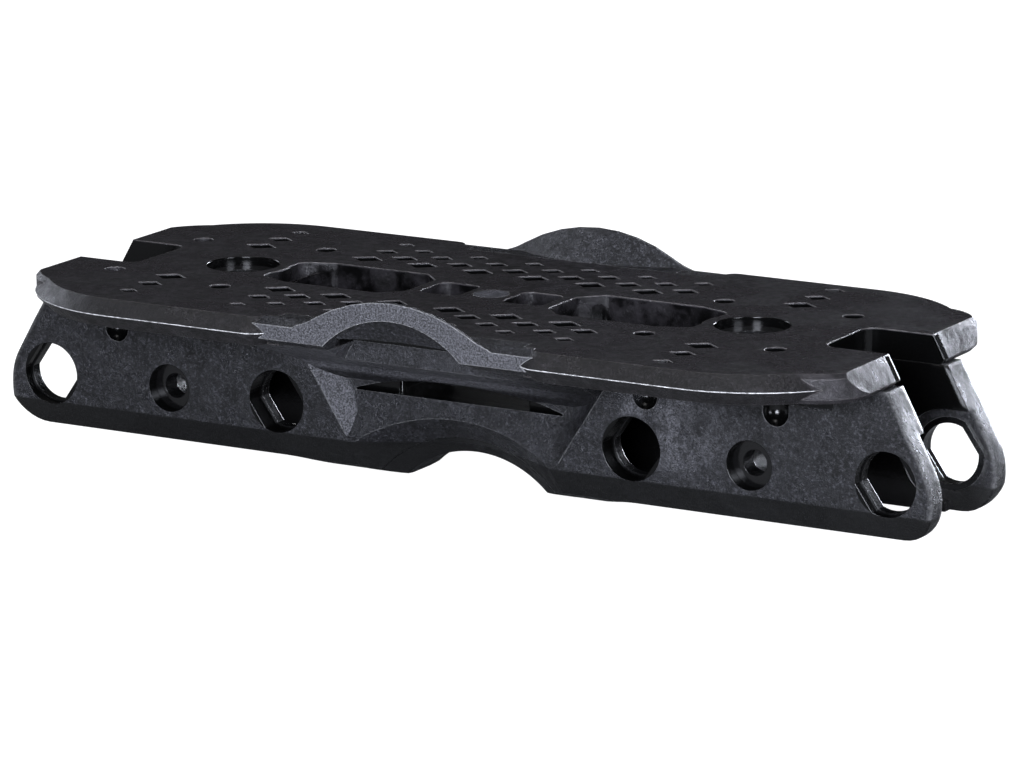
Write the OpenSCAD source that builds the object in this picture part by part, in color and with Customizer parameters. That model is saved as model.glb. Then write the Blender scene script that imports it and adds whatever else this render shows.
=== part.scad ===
// Bare frame for an aggressive inline skate: a nylon moulding with its small inserts.
// Millimetres. X runs to the front, Y to the left, Z up. The origin is under the middle, at the lowest point.
// The moulding is drawn as solids that meet face to face: sole plate, side arches, rails, grind block and webs.

/* [Sole plate] */
// Height of the sole plate's top over the lowest point
deck_h = 53.2; // [52:0.1:58]
// Thickness of the sole plate
plate_t = 8.2; // [7.4:0.1:10]
// Length to the ridge of the rim from the middle to the front, before the sloping end cuts it
rim_front_l = 136; // [133:1:145]
// Length to the ridge of the rim from the middle to the rear, before the sloping end cuts it
rim_rear_l = 134; // [132:1:145]
// Half of the width over the ridge of the rim
rim_half_w = 60.3; // [58:0.1:66]
// Corner radius of the rim's ridge, seen from above
rim_r = 44; // [36:1:48]
// How far the rim's ridge stands out past the top edge
rim_lip = 3.9; // [2:0.1:5]
// Length of the straight-walled end slab from the middle to either end
slab_half_l = 134; // [130:0.5:138]
// Half of the width of the end slab
slab_half_w = 46; // [42:0.5:50]
// Corner radius of the end slab at the front, seen from above
slab_front_r = 16; // [10:1:22]
// Corner radius of the end slab at the rear, seen from above
slab_rear_r = 24; // [16:1:30]
// Chamfer along the top and bottom edges of the end slab
slab_chamfer = 1.3; // [0.5:0.1:2]
// Length of the top from the middle to the front, where the sloping end starts
top_front_l = 130.5; // [127:0.1:132]
// Length of the top from the middle to the rear, where the sloping end starts
top_rear_l = 129.6; // [127:0.1:132]
// Lean of the front end from the vertical, in degrees
front_lean = 28; // [24:0.1:32]
// Lean of the rear end from the vertical, in degrees
rear_lean = 30.3; // [24:0.1:32]

/* [End notches and pockets] */
// Distance of each notch's back wall from the middle
notch_x = 110.7; // [108:0.1:116]
// Half of the clear width between the rails, in the notches and wheel wells
well_half_w = 13.4; // [12.6:0.1:14.5]
// Corner radius at the back of a notch
notch_r = 4; // [2:0.5:8]
// Inner end of a long pocket
pocket_x0 = 23; // [22:0.5:27]
// Outer end of a long pocket
pocket_x1 = 68.5; // [64:0.5:69]
// Length over which a long pocket widens from its inner end
pocket_flare_l = 6; // [4:0.5:10]
// Length over which a long pocket draws in at its outer end
pocket_taper_l = 9; // [7:0.5:12]
// Half width of a long pocket at its inner end
pocket_w0 = 8; // [6:0.5:10]
// Half width of a long pocket where it is widest
pocket_w1 = 14; // [12:0.5:16]
// Half width of a long pocket at its outer end
pocket_w2 = 10.5; // [8:0.5:12]
// Corner radius of the pockets
pocket_r = 3; // [1:0.5:4]
// Inner end of a small pocket
small_x0 = 7; // [6:0.5:9]
// Outer end of a small pocket
small_x1 = 20; // [17:0.5:21]
// Half width of a small pocket
small_w = 7.5; // [5:0.5:9]
// Depth of the small pockets under the top
small_depth = 10; // [9:0.5:11.5]

/* [Frame bolts] */
// Spacing of the two frame bolts
bolt_spacing = 165; // [160:1:170]
// Diameter of a bolt's counterbore
bolt_seat_d = 21; // [18:0.5:24]
// Depth of a bolt's counterbore under the top
bolt_seat_t = 3.4; // [3:0.1:4]
// Diameter of a bolt hole
bolt_d = 9.5; // [8:0.1:11]
// Thickness of the washer on the counterbore's floor
washer_t = 0.8; // [0.5:0.1:1.2]
// Gap around the washer
washer_gap = 0.05; // [0.02:0.01:0.2]
// Diameter of the plug in the middle of the top
plug_d = 10.4; // [8:0.1:12]
// Depth of the plug
plug_t = 3; // [2:0.1:5]

/* [Boot screws] */
// Diameter of the boot screw holes
screw_d = 5.8; // [5:0.1:7]
// Rear outer holes, from the middle
screw_rear_x = 111.3; // [109:0.1:114]
// Rear inner holes, from the middle
screw_mid_rear_x = 72; // [70:0.1:75]
// Front outer holes, from the middle
screw_front_x = 101.6; // [100:0.1:105]
// Front inner holes, from the middle
screw_mid_front_x = 61.6; // [60:0.1:63]
// Half spacing across of the outer holes and the front inner holes
screw_y = 22.9; // [22:0.1:24]
// Half spacing across of the rear inner holes
screw_mid_rear_y = 28; // [27.5:0.1:30]
// Radius of the pocket under a hole, which breaks out of the rail's face
screw_pocket_r = 3.9; // [3.6:0.1:4.4]
// Depth of that pocket's rounded end under the top
screw_pocket_depth = 21.3; // [18:0.1:22]

/* [Diamond pattern] */
// Distance between the columns of diamonds
diamond_pitch_x = 9.2; // [9:0.1:11]
// Distance between the rows of one column
diamond_pitch_y = 10.9; // [10:0.1:12]
// First row of the even columns, from the middle
diamond_row_0 = 23.2; // [22:0.1:24]
// First column
diamond_x0 = -55.1; // [-56:0.1:-54]
// Half length of a diamond in the first row
diamond_half_x = 5.2; // [3:0.1:5.4]
// Half width of a diamond in the first row
diamond_half_y = 3.8; // [2.5:0.1:4]
// Share of its size that a diamond keeps for each half row further out
diamond_fade = 0.85; // [0.75:0.01:0.9]
// Place of the three diamonds beside the rear bolt, from the middle
diamond_rear_x = -91.7; // [-94:0.1:-90]
// First of those three, from the middle
diamond_rear_y = 23.6; // [22:0.1:26]
// Place of the three diamonds beside the front bolt, from the middle
diamond_front_x = 82.2; // [81:0.1:86]
// First of those three, from the middle
diamond_front_y = 28.4; // [27:0.1:30]
// Share of its size that each of those three keeps from the one before
diamond_row_fade = 0.78; // [0.7:0.01:0.9]
// Distance between those diamonds
diamond_row_pitch = 10.6; // [9:0.1:11]
// Depth of the diamonds
diamond_depth = 2.4; // [1:0.1:3]

/* [Side arches] */
// Distance of the arches' middle in front of the frame's middle
arch_x = 2.2; // [0:0.1:4]
// How far the arch's outer face lies inside the ridge of the rim
arch_inset = 2.8; // [2.2:0.1:3.6]
// Width of the arch from its outer face to the foot of its inner slope
arch_w = 9.1; // [8.5:0.1:10]
// Height of the arch's crown over the top of the sole plate
arch_rise = 8.6; // [6:0.1:12]
// Half of the length over the arch's two feet
arch_half_l = 38; // [36:0.5:42]
// Width of the arch's flat crown between its face and its inner slope
arch_crown_w = 0.6; // [0.3:0.1:1.5]
// How far the inner slope moves outward for each millimetre of rise
arch_slope = 0.9; // [0.6:0.05:0.95]
// Radius of the arch's crown, seen from the side
arch_crown_r = 48; // [40:1:55]
// Depth of the waist's outer edge under the top
waist_edge_t = 1.5; // [0.5:0.1:2.5]
// Width of the bevel along that edge
waist_edge_w = 3.5; // [2:0.1:5]
// How much tighter the arch's feet are than a curve that runs straight into its crown
arch_foot_ease = 2; // [1:0.5:4]
// How far the arch's feet sink into that edge
arch_sink = 0.2; // [0.1:0.1:0.5]
// Height of the waist's outer face, which the underside slopes up to
waist_face_t = 5.6; // [5:0.1:6.5]
// How far that slope reaches in under the waist
waist_slope_w = 6; // [4:0.5:8]
// Half of the length of the straight waist that carries the arch
waist_half_l = 39; // [38:0.5:42]
// Thickness of the arch at its crown
arch_t = 5.1; // [4:0.1:6]
// Half of the length of the recess under the arch, at the plate's underside
recess_half_l = 24; // [20:0.5:26]
// Radius of the rim's nose beside the waist, seen from above
nose_r = 7.5; // [5:0.1:8.5]
// Distance of the recess's back wall from the middle
recess_y = 37; // [35:0.5:42]
// Thickness of the plate over the recess
recess_roof_t = 4.2; // [3.6:0.1:5]

/* [Rails] */
// Distance of a rail's outer face from the middle
rail_face_y = 22.7; // [22:0.1:24]
// How much the upper part of that face leans in
rail_draft = 0.7; // [0:0.1:1.2]
// Depth under the top where that lean starts
rail_draft_depth = 17.8; // [15:0.1:20]
// Half of the overall length
half_l = 148.2; // [146.5:0.1:151]
// Depth of the rails' lower edge under the top
rail_depth = 49; // [48:0.1:50.5]
// Radius of the rail's end, above
end_r_top = 18; // [10:1:22]
// Radius of the rail's end, below
end_r_bottom = 10; // [6:0.5:13]
// Depth under the top where the rail's lower bevel starts
bevel_depth = 41.5; // [40:0.1:43]
// Distance of that bevel's lower edge from the middle
bevel_y = 18.8; // [17:0.1:20]
// Radius of the rounded underside between the bevels, seen along the rails
barrel_r = 42; // [40:1:60]
// Half of the length of the flat on the bulges
bulge_half_l = 35.5; // [33:0.5:40]
// Half of the length where the bulges have run out
bulge_end = 54; // [50:1:60]
// Rounding of the bulges
bulge_r = 30; // [10:1:40]

/* [Grind groove] */
// Depth of the groove's top under the top of the sole plate
groove_depth = 43.6; // [42:0.1:45]
// Radius of the groove in its middle
groove_r = 33; // [28:0.5:38]
// Distance from the middle where the groove's sides start to flare
groove_flat_y = 8.5; // [6:0.5:11]
// Radius that the flare gains for each millimetre outward
groove_flare = 1; // [0.8:0.05:1.2]

/* [Scoops and slot] */
// Half of the length of a scoop at the plate's underside
scoop_half_top = 54.6; // [52:0.1:57]
// Half of the length of a scoop at its lower end
scoop_half_bottom = 33.5; // [30:0.1:36]
// Depth of a scoop's lower end under the top
scoop_depth = 41; // [39:0.1:42]
// Distance of the scoop's floor from the middle, beside the slot
scoop_y = 18.5; // [17:0.1:20]
// Distance from the middle where the cove under the recess meets the plate
cove_y = 37; // [33:0.5:40]
// Half of the length of the slot
slot_half_l = 35; // [28:0.5:37]
// Depth of the slot's flat lower face under the top
slot_depth = 27.3; // [26:0.1:28]
// Half of the length of the slot where it crosses the block between the rails
slot_core_half_l = 21; // [15:0.5:22]
// Height of the slot in its middle
slot_h = 5.9; // [4:0.1:6.5]

/* [Axle holes] */
// Distance of the outer axles from the rails' ends
axle_inset = 13.66; // [12.7:0.01:15]
// Distance of the inner axles from the middle
axle_x_in = 57.3; // [56:0.1:59]
// Depth of the outer axles under the top
axle_depth_out = 33.3; // [32:0.1:34]
// Depth of the inner axles under the top
axle_depth_in = 32.75; // [32:0.05:33.5]
// Radius of an axle hole
axle_r = 8.96; // [8:0.02:9.4]
// Distance of an axle hole's flats from its centre
axle_flat = 7.8; // [7:0.02:8]
// Lean of the flats' direction from the horizontal, in degrees
axle_key = 35; // [20:1:50]
// Width of the ring in an axle hole
ring_w = 1.7; // [1.2:0.1:2]
// How far the ring stands into the hole
ring_ledge = 0.45; // [0.2:0.05:0.8]
// Length of the ring, along the axle
ring_t = 3.1; // [2:0.1:4]
// Gap between the ring and its seat
ring_gap = 0.02; // [0.01:0.01:0.1]
// Radius of the recess round the outer axles, on the inner face
hub_r = 13; // [12:0.5:14]
// Depth of that recess
hub_t = 3; // [2:0.1:4]
// Radius of a wheel well
well_r = 30.5; // [29:0.5:31]

/* [Cross bolts] */
// Distance of the cross bolts from the middle
cross_x = 93.6; // [92:0.1:96]
// Depth of the cross bolts under the top
cross_depth = 33; // [32:0.1:34]
// Radius of the counterbore
cross_seat_r = 6.84; // [6.3:0.02:7.4]
// Depth of the counterbore
cross_seat_t = 4.5; // [3:0.1:5.5]
// Radius of the bolt's way
cross_r = 3.6; // [3:0.1:4]
// Wall of a sleeve
sleeve_wall = 1.6; // [1.2:0.1:2]
// Thickness of a sleeve's flange
sleeve_flange_t = 1; // [0.6:0.1:1.4]
// Gap around a sleeve
sleeve_gap = 0.02; // [0.01:0.01:0.1]
// Thickness of a web
web_t = 9; // [7.5:0.1:12]
// Wall of the web's boss round the bolt
web_boss_t = 2.4; // [1.6:0.1:3]
// Depth of the web's lower edge under the top
web_depth = 45; // [43:0.1:46]

/* [Hidden] */
$fn = 64;

// Colours, as the photo shows them
body_colour = [0.16, 0.155, 0.155];
rail_colour = [0.22, 0.22, 0.23];
insert_colour = [0.3, 0.3, 0.31];

// Room by which a cutter runs past the face that it opens
past = 1;
under = deck_h - plate_t;

// Places that follow from the sizes above
axle_x_out = half_l - axle_inset;
arch_face_y = rim_half_w - arch_inset;
arch_foot_y = arch_face_y - arch_w;

// The two ends: [side, length of the top, run of the slope, length over the rim, corner radius of the slab]
front_end = [1, top_front_l, tan(front_lean), rim_front_l, slab_front_r];
rear_end = [-1, top_rear_l, tan(rear_lean), rim_rear_l, slab_rear_r];
ends = [front_end, rear_end];
rim_mid = plate_t / 2;

// Ends of the signs for the front and rear, and the left and right
both = [-1, 1];

// Points of an arc round centre c from angle a0 to a1
function arc(c, r, a0, a1, n) = [for (i = [0:n]) let (a = a0 + (a1 - a0) * i / n) c + r * [cos(a), sin(a)]];

// An outline with each corner [x, y, radius] rounded by its radius
function rounded(pts) = [
    for (i = [0:len(pts) - 1])
        let (
            n = len(pts),
            p = pts[i],
            b = [p[0], p[1]],
            q = pts[(i + n - 1) % n],
            s = pts[(i + 1) % n],
            u = ([q[0], q[1]] - b) / norm([q[0], q[1]] - b),
            v = ([s[0], s[1]] - b) / norm([s[0], s[1]] - b),
            half = acos(u * v) / 2,
            c = b + (u + v) / norm(u + v) * p[2] / sin(half),
            t0 = b + u * p[2] / tan(half) - c,
            t1 = b + v * p[2] / tan(half) - c,
            a0 = atan2(t0[1], t0[0]),
            turn = atan2(t0[0] * t1[1] - t0[1] * t1[0], t0 * t1)
        )
        each p[2] > 0 ? arc(c, p[2], a0, a0 + turn, 8) : [b]
];

// An outline in X and height, extruded across from y0 to y1
module across(y0, y1) {
    translate([0, y1, 0]) rotate([90, 0, 0]) linear_extrude(y1 - y0) children();
}

// An outline in Y and height, extruded along from x0 to x1
module along(x0, x1) {
    translate([x0, 0, 0]) rotate([90, 0, 90]) linear_extrude(x1 - x0) children();
}

// Points of a section that runs down one edge of a plate and up the other
function two_edges(half, profile) = concat(
    [for (p = profile) [half - p[0], p[1]]],
    [for (i = [len(profile) - 1:-1:0]) [-half + profile[i][0], profile[i][1]]]
);

// A plate with rounded corners whose edge follows a profile of [inset, height] points. Sizes: [front, rear]
module edged_plate(lengths, half_y, radii, profile) {
    low = profile[len(profile) - 1][1];
    high = profile[0][1];
    along(-lengths[1] + radii[1], lengths[0] - radii[0]) polygon(two_edges(half_y, profile));
    for (i = [0, 1]) {
        sx = ends[i][0];
        r = radii[i];
        across(-half_y + r, half_y - r) intersection() {
            polygon(two_edges(lengths[i], profile));
            translate([sx > 0 ? 0 : -lengths[i], low]) square([lengths[i], high - low]);
        }
        for (sy = both)
            translate([sx * (lengths[i] - r), sy * (half_y - r), 0])
                rotate_extrude() polygon(concat([for (p = profile) [r - p[0], p[1]]], [[0, low], [0, high]]));
    }
}

// The rim, whose section is a lying V
module rim_plate() {
    edged_plate([rim_front_l, rim_rear_l], rim_half_w, [rim_r, rim_r], rim_profile);
}

// The ends between the V-shaped rim and the sloping end faces have upright walls
module end_slab() {
    edged_plate([slab_half_l, slab_half_l], slab_half_w, [slab_front_r, slab_rear_r],
        [[slab_chamfer, deck_h], [0, deck_h - slab_chamfer], [0, under + slab_chamfer], [slab_chamfer, under]]);
}

// Place of a sloping end face at a depth under the top
function end_x(end, depth) = end[0] * (end[1] + depth * end[2]);

// The room between the two sloping end faces, down to a depth
module between_ends(depth) {
    across(-rim_half_w - past, rim_half_w + past) polygon([
        [end_x(rear_end, -past), deck_h + past], [end_x(front_end, -past), deck_h + past],
        [end_x(front_end, depth), deck_h - depth], [end_x(rear_end, depth), deck_h - depth]
    ]);
}

// The plain plate with its rim, before anything is cut into it
module plate_blank() {
    intersection() {
        union() {
            rim_plate();
            end_slab();
        }
        between_ends(plate_t + past);
    }
}

// The rim's lying V as [inset, height] points from the top down
rim_profile = [[rim_lip, deck_h], [0, deck_h - rim_mid], [rim_lip, under]];

// The left arch's place in the plate's edge. Beside it the rim ends in a nose with the rim's own section
module left_waist_room() {
    nose_y = rim_half_w - nose_r;
    nose_lip = nose_r - rim_lip;
    difference() {
        translate([arch_x, 0, under - past]) {
            translate([-waist_half_l, arch_foot_y, 0])
                cube([2 * waist_half_l, rim_half_w + past - arch_foot_y, plate_t + 2 * past]);
            translate([-waist_half_l - nose_r, nose_y, 0])
                cube([2 * (waist_half_l + nose_r), nose_r + past, plate_t + 2 * past]);
        }
        for (sx = both)
            translate([arch_x + sx * (waist_half_l + nose_r), nose_y, 0])
                rotate_extrude() polygon([
                    [0, under - past], [nose_lip, under - past], [nose_lip, under], [nose_r, deck_h - rim_mid],
                    [nose_lip, deck_h], [nose_lip, deck_h + past], [0, deck_h + past]
                ]);
    }
}

module waist_room() {
    left_waist_room();
    mirror([0, 1, 0]) left_waist_room();
}

// The notch at each end that the outer wheel turns in
module notches() {
    for (sx = both)
        translate([0, 0, under - past]) linear_extrude(plate_t + 2 * past) polygon(rounded([
            [sx * notch_x, -well_half_w, notch_r], [sx * notch_x, well_half_w, notch_r],
            [sx * (half_l + past), well_half_w, 0], [sx * (half_l + past), -well_half_w, 0]
        ]));
}

// A long pocket bows round the bolt's seat at its outer end
module long_pockets() {
    bow_r = bolt_spacing / 2 - pocket_x1;
    widest_x0 = pocket_x0 + pocket_flare_l;
    widest_x1 = pocket_x1 - pocket_taper_l;
    end_x = pocket_x1 + past;
    for (sx = both)
        translate([0, 0, under - past]) linear_extrude(plate_t + 2 * past) difference() {
            polygon(rounded([
                for (p = [
                    [pocket_x0, pocket_w0], [widest_x0, pocket_w1], [widest_x1, pocket_w1], [end_x, pocket_w2],
                    [end_x, -pocket_w2], [widest_x1, -pocket_w1], [widest_x0, -pocket_w1], [pocket_x0, -pocket_w0]
                ]) [sx * p[0], p[1], pocket_r]
            ]));
            translate([sx * bolt_spacing / 2, 0]) circle(r = bow_r);
        }
}

// Blind pockets on both sides of the middle, which reach a little way into the grind block
module small_pockets() {
    for (sx = both)
        translate([0, 0, deck_h - small_depth]) linear_extrude(small_depth + past) polygon(rounded([
            for (p = [[small_x0, -small_w], [small_x1, -small_w], [small_x1, small_w], [small_x0, small_w]])
                [sx * p[0], p[1], pocket_r]
        ]));
}

module bolt_seats() {
    for (sx = both)
        translate([sx * bolt_spacing / 2, 0, 0]) {
            translate([0, 0, under - past]) cylinder(d = bolt_d, h = plate_t + 2 * past);
            translate([0, 0, deck_h - bolt_seat_t]) cylinder(d = bolt_seat_d, h = bolt_seat_t + past);
        }
    translate([0, 0, deck_h - plug_t]) cylinder(d = plug_d, h = plug_t + past);
}

// Places of the boot screws. Only the last of them lies clear of the rails
screw_spots = [
    [-screw_rear_x, screw_y], [screw_front_x, screw_y], [screw_mid_front_x, screw_y],
    [-screw_mid_rear_x, screw_mid_rear_y]
];

module screw_holes() {
    for (p = screw_spots, sy = both)
        translate([p[0], sy * p[1], under - past]) cylinder(d = screw_d, h = plate_t + 2 * past);
}

// Round-ended pockets under the boot screws, open through the rail's outer face
module screw_pockets() {
    for (p = screw_spots, sy = both)
        translate([p[0], sy * p[1], deck_h - screw_pocket_depth + screw_pocket_r]) {
            cylinder(r = screw_pocket_r, h = screw_pocket_depth);
            sphere(r = screw_pocket_r);
        }
}

module diamond(at, k) {
    translate([at[0], at[1], deck_h - diamond_depth]) linear_extrude(diamond_depth + past)
        polygon([
            [-diamond_half_x * k, 0], [0, -diamond_half_y * k], [diamond_half_x * k, 0], [0, diamond_half_y * k]
        ]);
}

// Staggered columns of diamonds, which keep clear of the arches and fade outward
module diamond_field() {
    for (i = [0:11], sy = both) {
        odd = i % 2;
        x = diamond_x0 + i * diamond_pitch_x;
        first = diamond_row_0 + odd * diamond_pitch_y / 2;
        for (row = [0:2]) {
            y = first + row * diamond_pitch_y;
            if (y < arch_foot_y - diamond_half_y || abs(x - arch_x) > waist_half_l + nose_r)
                if (y < rim_half_w - rim_lip - 2 * diamond_half_y)
                    diamond([x, sy * y], pow(diamond_fade, 2 * row + odd));
        }
    }
}

// Three diamonds beside each frame bolt, in a row that runs out to the rim
module diamond_rows() {
    for (first = [[diamond_rear_x, diamond_rear_y], [diamond_front_x, diamond_front_y]], i = [0:2], sy = both)
        diamond([first[0], sy * (first[1] + i * diamond_row_pitch)], pow(diamond_row_fade, i));
}

// The recess under the arch, cut into the plate from its edge
module recess_room() {
    for (sy = both)
        translate([arch_x - recess_half_l, sy > 0 ? recess_y : -arch_foot_y - past, under - past])
            cube([2 * recess_half_l, arch_foot_y + past - recess_y, plate_t + past - recess_roof_t]);
}

// Round the inner and outer axles the wheels turn
module wheel_wells() {
    for (sx = both) {
        translate([sx * axle_x_in, 0, deck_h - axle_depth_in]) rotate([90, 0, 0])
            cylinder(r = well_r, h = 2 * well_half_w, center = true);
        translate([sx * axle_x_out, 0, deck_h - axle_depth_out]) rotate([90, 0, 0])
            cylinder(r = well_r, h = 2 * well_half_w, center = true);
    }
}

module sole_plate() {
    color(body_colour) difference() {
        plate_blank();
        waist_room();
        notches();
        long_pockets();
        small_pockets();
        bolt_seats();
        screw_holes();
        diamond_field();
        diamond_rows();
        recess_room();
        wheel_wells();
    }
}

// Side view of the arch: a round crown, short straight flanks and a hollow foot on each side
arch_h = arch_rise + waist_edge_t + arch_sink;
arch_foot_r = (arch_half_l * arch_half_l + arch_h * arch_h) / (2 * arch_h) - arch_crown_r;
arch_flank = asin(arch_half_l / (arch_crown_r + arch_foot_r));

module arch_side() {
    edge_z = deck_h - waist_edge_t - arch_sink;
    peak_z = deck_h + arch_rise - arch_crown_r + arch_crown_r / cos(arch_flank);
    foot_x = arch_half_l - arch_foot_r * tan(arch_flank / 2);
    foot_r = arch_foot_r - arch_foot_ease;
    polygon(rounded([
        [-arch_half_l, edge_z, 0], [-foot_x, edge_z, foot_r], [0, peak_z, arch_crown_r],
        [foot_x, edge_z, foot_r], [arch_half_l, edge_z, 0]
    ]));
}

// Where the arch's top comes down to the top of the sole plate
arch_leave_x = arch_half_l - sqrt(arch_foot_r * arch_foot_r - pow(arch_foot_r + arch_rise - arch_h, 2));

// A cone whose flank is the arch's inner slope. Its axis is outside the frame and it narrows upward
module arch_cone(inset, low, high) {
    bow = arch_face_y - arch_crown_w - arch_foot_y;
    foot_r = (arch_leave_x * arch_leave_x + bow * bow) / (2 * bow) - inset;
    translate([arch_x, arch_foot_y + foot_r + inset, deck_h + low])
        cylinder(r1 = foot_r - low * arch_slope, r2 = foot_r - high * arch_slope, h = high - low, $fn = 96);
}

// The waist fills the room that the rim leaves. Its outer edge is bevelled on top and slopes in below
module waist() {
    reach = waist_half_l + nose_r;
    intersection() {
        left_waist_room();
        along(arch_x - reach, arch_x + reach) polygon([
            [arch_foot_y, under], [arch_face_y - waist_slope_w, under], [arch_face_y, deck_h - waist_face_t],
            [arch_face_y, deck_h - waist_edge_t], [arch_face_y - waist_edge_w, deck_h], [arch_foot_y, deck_h]
        ]);
    }
}

// The room under the arch, with a round top, over a stretch across
module recess_vault(y0, y1) {
    crown = arch_rise - arch_t;
    rise = crown + plate_t;
    r = (recess_half_l * recess_half_l + rise * rise) / (2 * rise);
    across(y0, y1) translate([arch_x, deck_h + crown - r]) circle(r = r, $fn = 128);
}

// Above the plate that room follows the inner slope
module recess_under_arch() {
    intersection() {
        recess_vault(arch_foot_y - past, arch_face_y + past);
        union() {
            translate([arch_x - recess_half_l - past, arch_foot_y - past, under - past])
                cube([2 * (recess_half_l + past), arch_w + 2 * past, plate_t + past - recess_roof_t]);
            arch_cone(recess_roof_t, -recess_roof_t, arch_rise - arch_t + past);
        }
    }
}

module left_arch() {
    color(rail_colour) difference() {
        union() {
            waist();
            intersection() {
                across(arch_foot_y, arch_face_y) translate([arch_x, 0]) arch_side();
                arch_cone(0, arch_rise - arch_h - past, arch_rise + past);
            }
        }
        recess_under_arch();
    }
}

module right_arch() {
    mirror([0, 1, 0]) left_arch();
}

// Side view of the rails, with the two bulges that frame the grind groove
function rail_end(end) = [
    [end_x(end, plate_t), under, 0],
    [end[0] * half_l, deck_h - (half_l - end[1]) / end[2], end_r_top],
    [end[0] * half_l, deck_h - rail_depth, end_r_bottom],
    [end[0] * bulge_end, deck_h - rail_depth, bulge_r],
    [end[0] * bulge_half_l, 0, bulge_r]
];

module rail_side() {
    rear = rail_end(rear_end);
    polygon(rounded(concat(rail_end(front_end), [for (i = [len(rear) - 1:-1:0]) rear[i]])));
}

// The rounded underside runs between the bevels' lower edges
barrel_turn = asin(bevel_y / barrel_r);
barrel_facets = 16;

// Section of the rails and the grind block, with the bevels and the rounded underside
module rail_section() {
    low = deck_h - rail_depth;
    polygon(concat(
        [[rail_face_y - rail_draft, under], [rail_face_y, deck_h - rail_draft_depth],
            [rail_face_y, deck_h - bevel_depth]],
        arc([0, low + barrel_r * cos(barrel_turn)], barrel_r, -90 + barrel_turn, -90 - barrel_turn, barrel_facets),
        [[-rail_face_y, deck_h - bevel_depth], [-rail_face_y, deck_h - rail_draft_depth],
            [rail_draft - rail_face_y, under]]
    ));
}

// A waisted roller that cuts the grind groove across the block and the rails
module groove_roller() {
    half_w = rail_face_y + past;
    face_r = groove_r + (half_w - groove_flat_y) * groove_flare;
    translate([0, 0, deck_h - groove_depth - groove_r]) rotate([90, 0, 0]) rotate_extrude($fn = 128)
        polygon([
            [0, -half_w], [face_r, -half_w], [groove_r, -groove_flat_y],
            [groove_r, groove_flat_y], [face_r, half_w], [0, half_w]
        ]);
}

// The lens-shaped slot right through the middle, cut off at a half length
module lens_slot(half) {
    r = (slot_half_l * slot_half_l + slot_h * slot_h) / (2 * slot_h);
    across(-cove_y - past, cove_y + past) intersection() {
        translate([0, deck_h - slot_depth + slot_h - r]) circle(r = r, $fn = 256);
        translate([-half, deck_h - slot_depth]) square([2 * half, slot_h]);
    }
}

// Side view of a scoop
module scoop_side() {
    polygon([
        [-scoop_half_top, under], [scoop_half_top, under],
        [scoop_half_bottom, deck_h - scoop_depth], [-scoop_half_bottom, deck_h - scoop_depth]
    ]);
}

// Section of what stays inside a scoop: the cove under the plate, the floor beside the slot and the apron below
module scoop_floor() {
    cove_drop = slot_depth - slot_h / 2 - plate_t;
    reach = cove_y - scoop_y;
    r = (reach * reach + cove_drop * cove_drop) / (2 * reach);
    start = asin(min(1, cove_drop / r));
    polygon(concat(
        [[0, under]],
        reach < r ? arc([scoop_y + r, under - cove_drop], r, 180 - start, 180, 12)
            : [[cove_y, under], [scoop_y, under - cove_drop]],
        [
            [scoop_y, deck_h - slot_depth], [rail_face_y, deck_h - scoop_depth + past],
            [rail_face_y, -past], [0, -past]
        ]
    ));
}

// Section of the gussets that carry the waist on both sides of the recess
module gusset_section() {
    polygon([
        [well_half_w, under], [arch_face_y - waist_slope_w, under], [scoop_y, deck_h - slot_depth + slot_h],
        [well_half_w, deck_h - slot_depth + slot_h]
    ]);
}

// One rail on the left, solid between its inner and outer faces
module rail_blank() {
    difference() {
        intersection() {
            across(well_half_w, rail_face_y) rail_side();
            along(-half_l - past, half_l + past) rail_section();
        }
        across(scoop_y, rail_face_y + past) scoop_side();
    }
    intersection() {
        across(well_half_w, cove_y) scoop_side();
        along(-half_l, half_l) scoop_floor();
        union() {
            along(-half_l, half_l) rail_section();
            along(-half_l, half_l) translate([0, under - cove_y]) square([cove_y, cove_y]);
        }
    }
    difference() {
        intersection() {
            across(well_half_w, arch_face_y) scoop_side();
            along(-half_l, half_l) gusset_section();
        }
        recess_vault(recess_y, arch_face_y + past);
    }
}

// Places of the four axles: [x, depth, lean of the flats]
axle_spots = [
    [axle_x_out, axle_depth_out, axle_key], [axle_x_in, axle_depth_in, -axle_key],
    [-axle_x_in, axle_depth_in, axle_key], [-axle_x_out, axle_depth_out, -axle_key]
];

// A hole with two flats, seen from the right
module double_d(r, flat) {
    turn = acos(flat / r);
    polygon(concat(arc([0, 0], r, turn, 180 - turn, 18), arc([0, 0], r, 180 + turn, 360 - turn, 18)));
}

module axle_hole(spot, y0, y1, grow) {
    across(y0, y1) translate([spot[0], deck_h - spot[1]]) rotate(spot[2])
        double_d(axle_r + grow, axle_flat + grow);
}

// How far the ring's outside lies past the hole's wall
ring_seat = ring_w - ring_ledge;

module left_rail() {
    inner = well_half_w;
    color(rail_colour) difference() {
        rail_blank();
        groove_roller();
        lens_slot(slot_half_l);
        screw_pockets();
        for (sx = both) {
            hub_at = [sx * axle_x_out, deck_h - axle_depth_out];
            across(inner - past, inner + hub_t) {
                translate(hub_at) circle(r = hub_r);
                translate([sx > 0 ? axle_x_out : -half_l - past, hub_at[1] - hub_r - deck_h])
                    square([half_l + past - axle_x_out, 2 * hub_r + deck_h]);
            }
            across(inner - past, rail_face_y + past) translate([sx * cross_x, deck_h - cross_depth])
                circle(r = cross_r + sleeve_wall + sleeve_gap);
            across(rail_face_y - cross_seat_t, rail_face_y + past) translate([sx * cross_x, deck_h - cross_depth])
                circle(r = cross_seat_r);
        }
        for (i = [0:3]) {
            floor_y = ring_y(i);
            axle_hole(axle_spots[i], inner - past, rail_face_y + past, 0);
            axle_hole(axle_spots[i], inner - past, floor_y + ring_t, ring_seat);
        }
    }
}

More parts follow.
